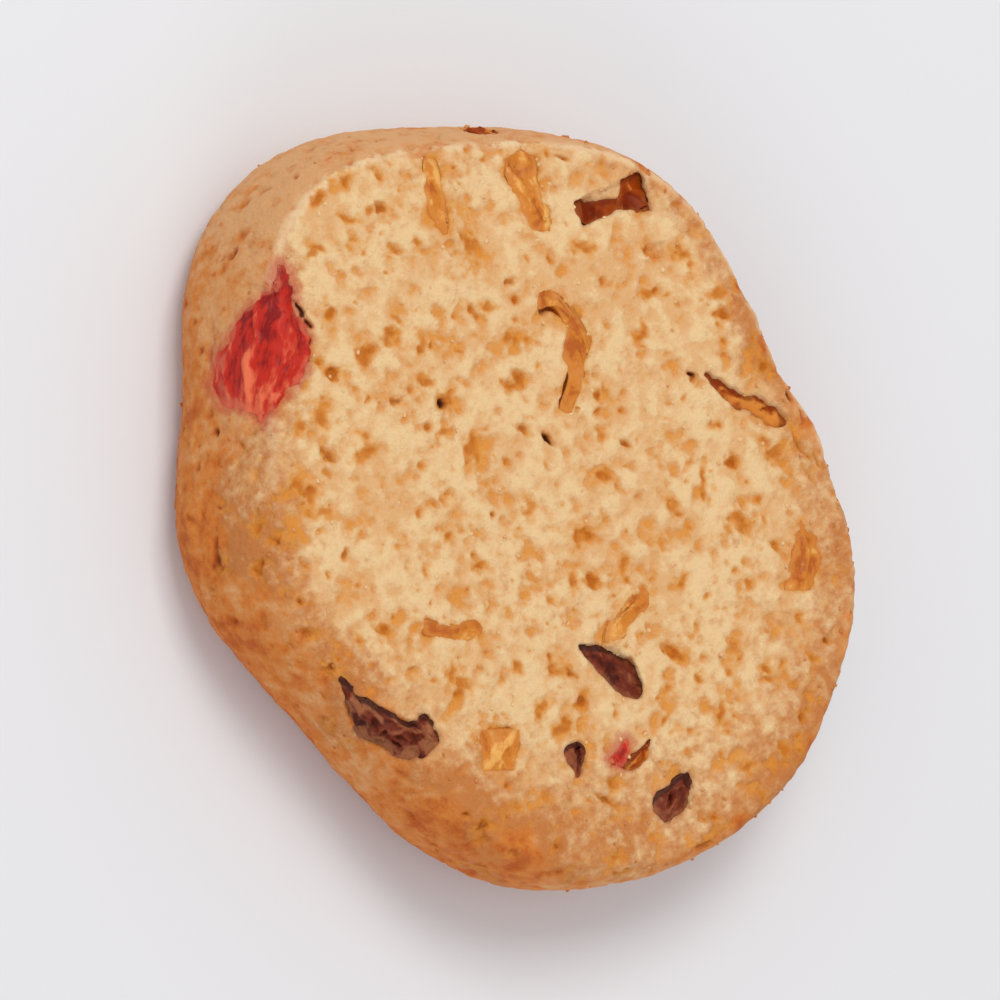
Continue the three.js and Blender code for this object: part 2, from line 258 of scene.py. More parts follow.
def noise(points, size, seed):
    """Soft random heights from -1 to 1, in lumps of about that size."""
    table = np.random.default_rng(seed).uniform(-1.6, 1.6, (LATTICE,) * 3)
    place = points @ TURNED / size + seed * SEED_SHIFT
    corner = np.floor(place).astype(int)
    share = place - corner
    share = share**3 * (share * (share * 6 - 15) + 10)
    total = np.zeros(len(points))
    for step in CORNERS:
        at = (corner + step) % LATTICE
        weight = np.abs(share - 1 + step).prod(axis=1)
        total += weight * table[at[:, 0], at[:, 1], at[:, 2]]
    return total


def wobble(points, size, seed):
    """A random shift of each point, up to about 1 along each axis."""
    return np.stack([noise(points, size, seed + axis) for axis in range(3)], axis=1)


def rounded(outline):
    """An outline with its corners cut to curves, each cut a share of its side."""
    cut = 0.22
    for _ in range(2):
        after = np.roll(outline, -1, axis=0)
        outline = np.stack([(1 - cut) * outline + cut * after, cut * outline + (1 - cut) * after], axis=1)
        outline = outline.reshape(-1, outline.shape[-1])
    return outline


def edge_distance(points, outline):
    """How far inside a flat outline each point lies, negative outside."""
    nearest = np.full(len(points), 1e9)
    inside = np.zeros(len(points), bool)
    for start, end in zip(outline, np.roll(outline, -1, axis=0)):
        side = end - start
        offset = points - start
        share = np.clip(offset @ side / (side @ side), 0, 1)
        nearest = np.minimum(nearest, np.linalg.norm(offset - share[:, None] * side, axis=1))
        spans = (start[1] > points[:, 1]) != (end[1] > points[:, 1])
        crossing = side[0] * (points[:, 1] - start[1]) / (side[1] or 1e-9) + start[0]
        inside ^= spans & (points[:, 0] < crossing)
    return np.where(inside, nearest, -nearest)


# ---------------------------------------------------------------- meshes

def merged(node):
    """A CAD node's mesh with its corners joined, in millimetres."""
    shape = bmesh.new()
    shape.from_mesh(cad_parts[node].data)
    bmesh.ops.remove_doubles(shape, verts=shape.verts, dist=1e-7)
    shape.transform(Matrix.Scale(1 / MM, 4))
    return shape


def as_mesh(shape, name="shape"):
    mesh = bpy.data.meshes.new(name)
    shape.to_mesh(mesh)
    shape.free()
    return mesh


def together(meshes):
    """Several meshes as one, overlaps and all."""
    shape = bmesh.new()
    for mesh in meshes:
        shape.from_mesh(mesh)
    return as_mesh(shape)


def modified(mesh, kind, **settings):
    """A new mesh: the old one through one modifier."""
    holder = bpy.data.objects.new("holder", mesh)
    bpy.context.scene.collection.objects.link(holder)
    modifier = holder.modifiers.new(kind, kind)
    for name, value in settings.items():
        setattr(modifier, name, value)
    graph = bpy.context.evaluated_depsgraph_get()
    made = bpy.data.meshes.new_from_object(holder.evaluated_get(graph))
    bpy.data.objects.remove(holder)
    return made


def remeshed(mesh, voxel, rounds=4):
    """The mesh as one skin of small even squares, smoothed a few times. Overlaps are gone."""
    squares = modified(mesh, "REMESH", mode="VOXEL", voxel_size=voxel)
    return modified(squares, "SMOOTH", factor=0.5, iterations=rounds)


def grown(mesh, amount):
    """The mesh with its skin moved outwards."""
    move(mesh, read(mesh) + normals_of(mesh) * amount)
    return mesh


def read(mesh, what="vertices", key="co"):
    """Every vertex's place or normal, as rows of three."""
    values = np.zeros(len(mesh.vertices) * 3, np.float32)
    getattr(mesh, what).foreach_get(key, values)
    return values.reshape(-1, 3).astype(float)


def normals_of(mesh):
    return read(mesh, "vertex_normals", "vector")


def move(mesh, points):
    mesh.vertices.foreach_set("co", points.astype(np.float32).ravel())
    mesh.update()


def note(mesh, name, values):
    """Keeps a number, or three, for each vertex, which the materials read."""
    kind, key = ("FLOAT", "value") if values.ndim == 1 else ("FLOAT_VECTOR", "vector")
    attribute = mesh.attributes.new(name, kind, "POINT")
    attribute.data.foreach_set(key, values.astype(np.float32).ravel())


def tree_of(mesh):
    """The mesh's skin, for finding places on it."""
    faces = [tuple(face.vertices) for face in mesh.polygons]
    return BVHTree.FromPolygons(read(mesh).tolist(), faces)


def finished(mesh, name, material, replaced=()):
    """A piece of the cookie from a mesh in millimetres."""
    mesh.transform(Matrix.Scale(MM, 4))
    mesh.name = name
    mesh.materials.clear()
    mesh.materials.append(material)
    mesh.shade_smooth()
    piece = bpy.data.objects.new(name, mesh)
    bpy.context.scene.collection.objects.link(piece)
    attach(piece, "root")
    if replaced:
        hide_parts(*replaced)
    return piece


# ---------------------------------------------------------------- materials

class Value:
    """One output of a material's node. Sums on it add Math nodes."""

    def __init__(self, finish, socket):
        self.finish = finish
        self.socket = socket

    def sum(self, operation, first, second):
        return self.finish.node("ShaderNodeMath", {"operation": operation}, {0: first, 1: second})

    def __add__(self, other):
        return self.sum("ADD", self, other)

    def __radd__(self, other):
        return self.sum("ADD", other, self)

    def __sub__(self, other):
        return self.sum("SUBTRACT", self, other)

    def __rsub__(self, other):
        return self.sum("SUBTRACT", other, self)

    def __mul__(self, other):
        return self.sum("MULTIPLY", self, other)

    def __rmul__(self, other):
        return self.sum("MULTIPLY", other, self)


class Finish:
    """A material, built up from nodes in front of one shader."""

    def __init__(self, name, **constants):
        self.material = bpy.data.materials.new(name)
        self.material.use_nodes = True
        self.tree = self.material.node_tree
        self.shader = self.tree.nodes["Principled BSDF"]
        for socket, value in constants.items():
            self.shader.inputs[socket.replace("_", " ")].default_value = value

    def node(self, kind, settings=None, inputs=None, output=0):
        """Adds a node: its settings first, then its inputs, as values or links. Gives one output."""
        node = self.tree.nodes.new(kind)
        for name, value in (settings or {}).items():
            setattr(node, name, value)
        for key, value in (inputs or {}).items():
            self.feed(node.inputs[key], value)
        return Value(self, node.outputs[output])

    def feed(self, socket, value):
        if isinstance(value, Value):
            self.tree.links.new(value.socket, socket)
        else:
            socket.default_value = value

    def place(self):
        """Where on the piece, in millimetres."""
        where = self.node("ShaderNodeTexCoord", output="Object")
        return self.stretched(where, (1 / MM,) * 3)

    def stretched(self, place, shares):
        """The place with each of its axes scaled, so that a pattern on it stretches."""
        return self.node("ShaderNodeVectorMath", {"operation": "MULTIPLY"}, {0: place, 1: shares})

    def noted(self, name, output="Fac"):
        """A number, or with output "Vector" three, noted at each vertex."""
        return self.node("ShaderNodeAttribute", {"attribute_name": name}, output=output)

    def noise(self, place, size, detail=3, roughness=0.55, distortion=0):
        """Noise around 0.5, in lumps of that size in millimetres."""
        inputs = {"Vector": place, "Scale": 1 / size, "Detail": detail}
        inputs.update({"Roughness": roughness, "Distortion": distortion})
        return self.node("ShaderNodeTexNoise", {}, inputs, "Fac")

    def cells(self, place, size):
        """Distance within cells of that size in millimetres."""
        return self.node("ShaderNodeTexVoronoi", {}, {"Vector": place, "Scale": 1 / size}, "Distance")

    def smooth(self, value, low, high):
        """0 at low, 1 at high, with a soft start and end. low may be the larger."""
        inputs = {"Value": value, "From Min": low, "From Max": high}
        return self.node("ShaderNodeMapRange", {"interpolation_type": "SMOOTHSTEP"}, inputs)

    def blend(self, share, first, second):
        """Two colours mixed. share 0 gives the first."""
        return self.node("ShaderNodeMix", {"data_type": "RGBA"}, {0: share, 6: first, 7: second}, 2)

    def relief(self, height, depth):
        """A normal that shows a height as relief, where a height of 1 is that depth in millimetres."""
        inputs = {"Height": height, "Distance": depth * MM, "Strength": 1.0}
        return self.node("ShaderNodeBump", {}, inputs)

    def ends(self, **results):
        """Feeds what was worked out to the shader, and gives the material."""
        for socket, value in results.items():
            self.feed(self.shader.inputs[socket.replace("_", " ")], value)
        return self.material


def colour(red, green, blue):
    """A screen colour, 0 to 255, as the light it stands for."""
    return tuple(((share / 255 + 0.055) / 1.055) ** 2.4 for share in (red, green, blue)) + (1.0,)


CREAM = colour(246, 208, 154)
BISCUIT = colour(236, 182, 124)
TAN = colour(206, 128, 66)
AMBER = colour(232, 150, 48)
CARAMEL = colour(196, 102, 16)
# painted shade: the dark colour of the hollows of cracks and pinholes
PAINTED_HOLLOW_SHADE = colour(92, 38, 12)
# painted highlight: the pale line where the face's rim catches the light
PAINTED_RIM_HIGHLIGHT = colour(252, 222, 176)
PALE_CRUST = colour(230, 170, 112)
GOLD_CRUST = colour(221, 130, 50)
BROWN_CRUST = colour(198, 94, 24)
DARK_CRUST = colour(136, 58, 20)
CHERRY_STAIN = colour(204, 92, 66)
RAISIN_STAIN = colour(160, 104, 76)


def dough_finish():
    """Pale porous crumb on the cut face, browned crust on the walls and the base."""
    finish = Finish("baked_dough", Subsurface_Weight=0.05, Subsurface_Scale=0.4 * MM,
                    Subsurface_Radius=(1.0, 0.5, 0.25), Specular_IOR_Level=0.25)
    place = finish.place()
    fine = finish.noise(place, 0.28, 4, 0.7) - 0.5
    grain = finish.noise(place, 0.9, 3, 0.6) - 0.5
    patch = finish.noise(place, 6, 2, 0.5) - 0.5
    rough = finish.noted("rough") + fine * 1.6
    pore = finish.noted("pore") - rough * 0.25
    toast = finish.noted("toast")

    pale = finish.smooth(rough * 0.7 + patch * 1.8, -0.35, 0.55)
    crumb = finish.blend(pale, BISCUIT, CREAM)
    crumb = finish.blend(finish.smooth(toast + grain * 0.9 + patch * 0.4, 0.06, 0.56), crumb, TAN)
    crumb = finish.blend(finish.smooth(rough + grain, -0.15, -1.2) * 0.75, crumb, AMBER)

    spots = finish.smooth(finish.noise(place, 2.2, 2), 0.5, 0.72)
    browned = toast + grain * 0.9 + fine * 0.5 - rough * 0.16 + patch * 0.6 + spots * 0.3 - 0.05
    baked = finish.blend(finish.smooth(browned, 0.06, 0.6), PALE_CRUST, GOLD_CRUST)
    baked = finish.blend(finish.smooth(browned, 0.5, 0.95), baked, BROWN_CRUST)
    baked = finish.blend(finish.smooth(toast + patch * 0.8 + grain * 0.3, 0.95, 1.3), baked, DARK_CRUST)
    edge = finish.smooth(finish.noted("crust") + grain * 0.7 + fine * 0.4, 0.15, 0.85)
    skin = finish.blend(edge, crumb, baked)

    hollow = finish.smooth(pore, 0.02, 0.9)
    deep = finish.smooth(pore + grain * 0.8 + fine * 0.5, 0.45, 1.15)
    skin = finish.blend(hollow * 0.85, skin, finish.blend(edge, AMBER, BROWN_CRUST))
    skin = finish.blend(deep * 0.8, skin, finish.blend(edge, CARAMEL, DARK_CRUST))
    # painted highlight along the face's rim, on its raised grains
    skin = finish.blend(finish.noted("painted_rim_highlight") * finish.smooth(rough, -0.6, 0.3), skin, PAINTED_RIM_HIGHLIGHT)
    stain = finish.noted("cherry_stain") + grain * 0.8 + fine * 0.5
    skin = finish.blend(finish.smooth(stain, 0.25, 1.1) * 0.75, skin, CHERRY_STAIN)
    stain = finish.noted("raisin_stain") + grain * 0.8 + fine * 0.5
    skin = finish.blend(finish.smooth(stain, 0.5, 1.2) * 0.45, skin, RAISIN_STAIN)
    # painted shade darkening the hollows of cracks, pinholes and brown pores
    painted_hollow_shade = finish.noted("painted_hollow_shade") + fine * 0.5
    skin = finish.blend(finish.smooth(painted_hollow_shade, 0.25, 0.9), skin, PAINTED_HOLLOW_SHADE)

    crumbs = finish.cells(place, 0.4)
    height = fine * 0.9 + grain * 0.5 + crumbs * 0.35
    return finish.ends(
        Base_Color=skin,
        Roughness=0.75 - hollow * 0.15 - edge * 0.12,
        Normal=finish.relief(height, 0.2),
    )


def crumb_finish():
    """Loose crumbs: pale to toasted."""
    finish = Finish("loose_crumb", Subsurface_Weight=0.05, Subsurface_Scale=0.4 * MM,
                    Specular_IOR_Level=0.25)
    place = finish.place()
    fine = finish.noise(place, 0.2, 3, 0.7) - 0.5
    each = finish.noise(place, 2.5, 1) - 0.5
    toast = finish.noted("toast") + each * 0.6 + fine * 0.4
    skin = finish.blend(finish.smooth(toast, -0.1, 0.5), CREAM, TAN)
    skin = finish.blend(finish.smooth(toast, 0.5, 1.1), skin, BROWN_CRUST)
    return finish.ends(Base_Color=skin, Roughness=0.78 + fine * 0.2, Normal=finish.relief(fine + 0.5, 0.08))


def fruit_finish(name, fade, faded, skin, dark, body, light, gloss, streak, **constants):
    """Fruit flesh: three colours in streaks, a band of painted shade in the skin colour along its upper
    edge, and sides that fade to the dough.

    faded is how much of the fade's colour its sides take, and streak scales the pattern on its own axes.
    """
    finish = Finish(name, **constants)
    lie = finish.noted("lie", "Vector")
    run = finish.stretched(lie, streak)
    along = finish.noise(run, 0.8, 3, 0.6, 0.4) - 0.5
    fine = finish.noise(run, 0.28, 4, 0.65) - 0.5
    patch = finish.noise(lie, 2.0, 2) - 0.5
    # lighter on the relief's crests and the cherry's fold, darker in the wrinkles: painted highlight and
    # painted shade
    tone = along * 1.1 + fine * 0.7 + patch * 0.7 + finish.noted("crest") * 0.25 - finish.noted("shade")
    flesh = finish.blend(finish.smooth(tone, -0.3, 0.0), dark, body)
    flesh = finish.blend(finish.smooth(tone, 0.05, 0.4), flesh, light)
    rim = finish.noted("inside") + fine * 0.7 + along * 0.4
    flesh = finish.blend(finish.smooth(rim, 0.35, -0.1) * faded, flesh, fade)
    # painted shade: the band along the upper edge is darkened towards the skin colour
    painted_edge_shade = finish.noted("painted_edge_shade") + fine * 0.5 + along * 0.3
    flesh = finish.blend(finish.smooth(painted_edge_shade, 0.1, 0.9) * 0.85, flesh, skin)
    return finish.ends(
        Base_Color=flesh,
        Roughness=gloss + fine * 0.4,
        Normal=finish.relief(along * 0.6 + fine * 0.7, 0.16),
    )


def fruit_finishes():
    return {
        "cherry": fruit_finish(
            "candied_cherry", colour(218, 104, 74), 0.7, colour(150, 12, 6), colour(142, 8, 2),
            colour(200, 36, 14), colour(238, 114, 74), 0.5, (0.3, 1, 1), Subsurface_Weight=0.08,
            Subsurface_Scale=0.5 * MM, Specular_IOR_Level=0.25, Coat_Weight=0.08, Coat_Roughness=0.3),
        "raisin": fruit_finish(
            "dark_raisin", colour(178, 112, 72), 0.65, colour(62, 20, 8), colour(80, 24, 8),
            colour(114, 41, 18), colour(150, 82, 52), 0.45, (0.5, 1, 1), Specular_IOR_Level=0.18),
        "sultana": fruit_finish(
            "sultana", colour(200, 120, 54), 0.6, colour(116, 38, 6), colour(126, 40, 2),
            colour(160, 64, 8), colour(220, 136, 56), 0.45, (0.5, 1, 1), Subsurface_Weight=0.05,
            Subsurface_Scale=0.5 * MM, Specular_IOR_Level=0.08, Coat_Weight=0.03, Coat_Roughness=0.25),
        "peel": fruit_finish(
            "candied_peel", colour(218, 136, 54), 0.8, colour(170, 84, 20), colour(188, 94, 14),
            colour(214, 128, 34), colour(242, 178, 92), 0.42, (0.7, 1, 1), Subsurface_Weight=0.15,
            Subsurface_Scale=0.5 * MM, Specular_IOR_Level=0.25, Coat_Weight=0.12, Coat_Roughness=0.25),
    }


# ---------------------------------------------------------------- the bare cookie

def bare_cookie(voxel):
    """The whole cookie's outer skin, the gaps round the fruit shut, out to the photograph's outline."""
    solids = [remeshed(as_mesh(merged(node)), voxel, 1) for node in sorted(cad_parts)]
    shut = together([grown(solid, SHUT_GAP) for solid in solids])
    return reached(grown(remeshed(shut, voxel, 6), -SHUT_GAP))


def reached(mesh):
    """The mesh with its sides moved out or in to the photograph's outline."""
    points = read(mesh)
    turn = np.degrees(np.arctan2(points[:, 1], points[:, 0]))
    radius = np.hypot(points[:, 0], points[:, 1])
    for direction, (width, amount) in REACHES.items():
        away = (turn - direction + 180) % 360 - 180
        shift = amount * np.exp(-((away / width) ** 2)) * (radius / radius.max()) ** 2
        points[:, :2] *= (1 + shift / np.maximum(radius, 1))[:, None]
    move(mesh, points)
    return mesh


GUIDE = tree_of(bare_cookie(GUIDE_VOXEL))


def seen(x, y):
    """Where the photograph's pixel (x, y) lies on the cookie, and the way out from there."""
    across = (x - PHOTO_ORIGIN.x) * PHOTO_MM_PER_PIXEL
    upward = (PHOTO_ORIGIN.y - y) * PHOTO_MM_PER_PIXEL
    middle = CAMERA_RIGHT * across + CAMERA_UP * upward
    place, out, _, _ = GUIDE.ray_cast(middle + TO_CAMERA * 100, -TO_CAMERA)
    if place is None:  # a pixel just past the edge: the nearest skin
        place, out, _, _ = GUIDE.find_nearest(middle)
    return place, out


# ---------------------------------------------------------------- fruit

AT_THE_SKIN = 0.35  # points of a CAD solid this near to the cookie's skin are its top, mm
HIDDEN_CORNERS = 12  # in the outline of fruit that isn't shown
HIDDEN_SHARE = 0.95  # its outline's size, as a share of its CAD solid's
NEAR_ITS_PLANE = 4  # how far from its outline's plane a fruit still counts, mm
FAR_OUTSIDE = -9.0  # stands for a place beyond every outline, mm
STAIN_REACH = 3  # how far round a fruit the dough is looked at, mm

# The plug: how far it goes past the outline, how far it rises out of the skin, and its length, mm
PLUG_SPREAD = 0.35
PLUG_RISE = 0.9
PLUG_LENGTH = 2.2

CROWN = 0.06  # how high a fruit's middle stands over the cut face, mm
SKIRT_DROP = 1.4  # how far a fruit drops away past its outline, mm
PAINTED_EDGE_SHADE_WIDTH = 0.38  # width of the dark band of painted shade along a fruit's upper edge, mm


class Fruit:
    """One piece of fruit: its outline on the cookie's skin, and its mesh."""

    def __init__(self, node, number):
        self.node = node
        self.kind = node.split("_")[0]
        self.seed = SEED + 20 * number
        self.sunk = SUNK.get(node, 0.0)
        self.ragged = RAGGED.get(node, USUALLY_RAGGED)
        shown = node in OUTLINES
        corners, ways_out = self.shown_corners() if shown else self.hidden_corners()
        if node not in SQUARE_CUT:
            corners = rounded(corners)
        self.middle = corners.mean(axis=0)
        self.out = ways_out.mean(axis=0)
        self.out /= np.linalg.norm(self.out)
        # The plane its outline lies in: the photograph's, or its own.
        self.along = np.array(CAMERA_RIGHT) if shown else corners[0] - self.middle
        self.view = np.array(TO_CAMERA) if shown else self.out
        self.across = np.cross(self.view, self.along)
        self.along = np.cross(self.across, self.view)
        self.along, self.across, self.view = [
            way / np.linalg.norm(way) for way in (self.along, self.across, self.view)]
        self.outline = self.flat(corners)
        self.lift = (corners - self.middle) @ self.view
        self.reach = np.abs(self.outline).max() + STAIN_REACH

    def shown_corners(self):
        """The outline's points, from the photograph's pixels."""
        places, ways = zip(*[seen(x, y) for x, y in OUTLINES[self.node]])
        return np.array(places), np.array(ways)

    def hidden_corners(self):
        """The outline of the CAD solid's top, which stands at the cookie's skin."""
        points = read(as_mesh(merged(self.node)))
        hits = [GUIDE.find_nearest(point) for point in points]
        depth = np.array([distance for _, _, _, distance in hits])
        top = depth < AT_THE_SKIN
        ways = np.array([way for _, way, _, _ in hits])[top]
        places = points[top]
        out = ways.mean(axis=0) / np.linalg.norm(ways.mean(axis=0))
        flat = places - places.mean(axis=0)
        flat -= np.outer(flat @ out, out)
        along = np.linalg.svd(flat, full_matrices=False)[2][0]
        across = np.cross(out, along)
        half = np.abs(flat @ along).max(), np.abs(flat @ across).max()
        turns = np.radians(np.arange(0, 360, 360 // HIDDEN_CORNERS))
        ring = np.outer(np.cos(turns) * half[0], along) + np.outer(np.sin(turns) * half[1], across)
        return places.mean(axis=0) + ring * HIDDEN_SHARE, np.tile(out, (HIDDEN_CORNERS, 1))

    def flat(self, points):
        """Points in the outline's plane."""
        offset = points - self.middle
        return np.stack([offset @ self.along, offset @ self.across], axis=1)

    def inside(self, points):
        """How far inside its ragged outline each point lies, negative outside."""
        edge = 0.22 * noise(points, 1.0, self.seed) + 0.14 * noise(points, 0.45, self.seed + 1)
        distance = edge_distance(self.flat(points), self.outline)
        level = (points - self.middle) @ self.view
        return np.where(np.abs(level) < NEAR_ITS_PLANE, distance + self.ragged * edge, FAR_OUTSIDE)

    def plug(self):
        """A block under its outline, which makes sure that the fruit fills it."""
        shape = bmesh.new()
        spread = self.outline * (1 + PLUG_SPREAD / np.linalg.norm(self.outline, axis=1, keepdims=True))
        rise = self.middle + self.out * PLUG_RISE
        lid = [Vector(rise + u * self.along + v * self.across + w * self.view)
               for (u, v), w in zip(spread, self.lift)]
        face = shape.faces.new([shape.verts.new(corner) for corner in lid])
        floor = bmesh.ops.extrude_face_region(shape, geom=[face])["geom"]
        moved = [part for part in floor if isinstance(part, bmesh.types.BMVert)]
        bmesh.ops.translate(shape, verts=moved, vec=-Vector(self.out) * PLUG_LENGTH)
        bmesh.ops.recalc_face_normals(shape, faces=shape.faces)
        return as_mesh(shape)

    def mesh(self):
        """The fruit's piece: CAD solid and plug as one, with its top worked to the cookie's skin."""
        mesh = remeshed(together([as_mesh(merged(self.node)), self.plug()]), FRUIT_VOXEL, 8)
        points = read(mesh)
        hits = [GUIDE.find_nearest(point) for point in points]
        foot = np.array([place for place, _, _, _ in hits])
        way = np.array([way for _, way, _, _ in hits])
        height = ((points - foot) * way).sum(axis=1)
        inside = self.inside(foot)
        lie = own_axes(points)
        push, grain, edge, skirt, painted_edge_shade, fall = FRUIT_LOOKS[self.kind]
        crest = push(lie, self.seed)
        level = edge + (CROWN - edge) * smooth(inside, 0, 0.8) - self.sunk
        level -= SKIRT_DROP * smooth(inside, -skirt, -skirt - 0.6)
        level = level + crest * grain * smooth(inside, 0.1, 0.7) + 0.9 * swell(foot)
        top = smooth(height, -0.9, -0.3)
        points = points + way * (top * (level - height))[:, None]
        points[:, 2] = np.maximum(points[:, 2], 0)
        move(mesh, points)
        upward = (points - self.middle) @ np.array(CAMERA_UP) / self.reach
        # the band along the fruit's upper edge that the material darkens as painted shade
        above = self.inside(foot + np.array(CAMERA_UP) * PAINTED_EDGE_SHADE_WIDTH)
        broken = min(max(self.ragged - RAGGED_ENOUGH, 0), 0.3)
        crumbed = broken * (noise(points, 0.9, self.seed + 3) + 0.3)
        note(mesh, "lie", lie)
        note(mesh, "inside", inside - 3 * crumbed + fall * np.maximum(upward, 0))
        note(mesh, "crest", crest)
        note(mesh, "shade", fall * upward + DARKER.get(self.node, 0))
        note(mesh, "painted_edge_shade", painted_edge_shade * smooth(above, 0.2, -0.1))
        return mesh


def own_axes(points):
    """Each point along its piece's long, middle and short axis, in millimetres."""
    middle = points.mean(axis=0)
    _, _, axes = np.linalg.svd(points - middle, full_matrices=False)
    return (points - middle) @ axes.T


def wrinkled(lie, seed):
    """Heights of a dried skin: sharp folds, with finer ones across them."""
    run = lie * (0.5, 1, 1) + wobble(lie, 1.2, seed) * 0.5
    return 1 - np.abs(noise(run, 1.1, seed + 5)) * 2 + 0.4 * (1 - np.abs(noise(run, 0.5, seed + 9)) * 2)


def fibrous(lie, seed):
    """Heights of flesh with fibres along its length."""
    run = lie * (0.3, 1, 1) + wobble(lie, 1.5, seed) * 0.4
    return noise(run, 0.8, seed + 5) + 0.4 * noise(run, 0.35, seed + 9)


def folded(lie, seed):
    """Heights of fibrous flesh with one fold down its middle."""
    fold = smooth(np.abs(lie[:, 1] + 0.5 * noise(lie, 2.5, seed + 13)), 0.4, 0.0)
    return 0.6 * fibrous(lie, seed) + fold


# For each kind of fruit: the shape of its relief, how high that is, how high its edge stands and how far
# it laps over the dough, in mm, how dark the painted shade along its upper edge is, and how much darker
# its top is than its foot.
FRUIT_LOOKS = {
    "cherry": (folded, 0.17, -0.02, 0.05, 0.0, 0.5),
    "raisin": (wrinkled, 0.22, -0.06, -0.04, 1.0, 0.3),
    "sultana": (wrinkled, 0.18, -0.06, -0.04, 0.7, 0.3),
    "peel": (fibrous, 0.09, 0.02, 0.1, 0.3, 0.3),
}


# ---------------------------------------------------------------- dough

HALF_WAY = 5  # height between base and face, mm
FACE_LOWEST = 7  # no part of the cut face is lower, mm
BED_DEPTH = 0.9  # how far the dough sinks under fruit, mm
PORE_RAG = 0.3  # how ragged a pore is, as a share of its width
BASE_TOAST = 0.4  # how brown the middle of the base is

# How much browner the wall is at its foot, and up to what height that shows, mm
FOOT_TOAST = 0.3
FOOT_TOAST_HEIGHT = 5.5


def swell(points):
    """The slow rise and fall of the whole cookie's skin, in mm."""
    return 0.12 * noise(points, 9, SEED + 1) + 0.08 * noise(points, 3, SEED + 2)


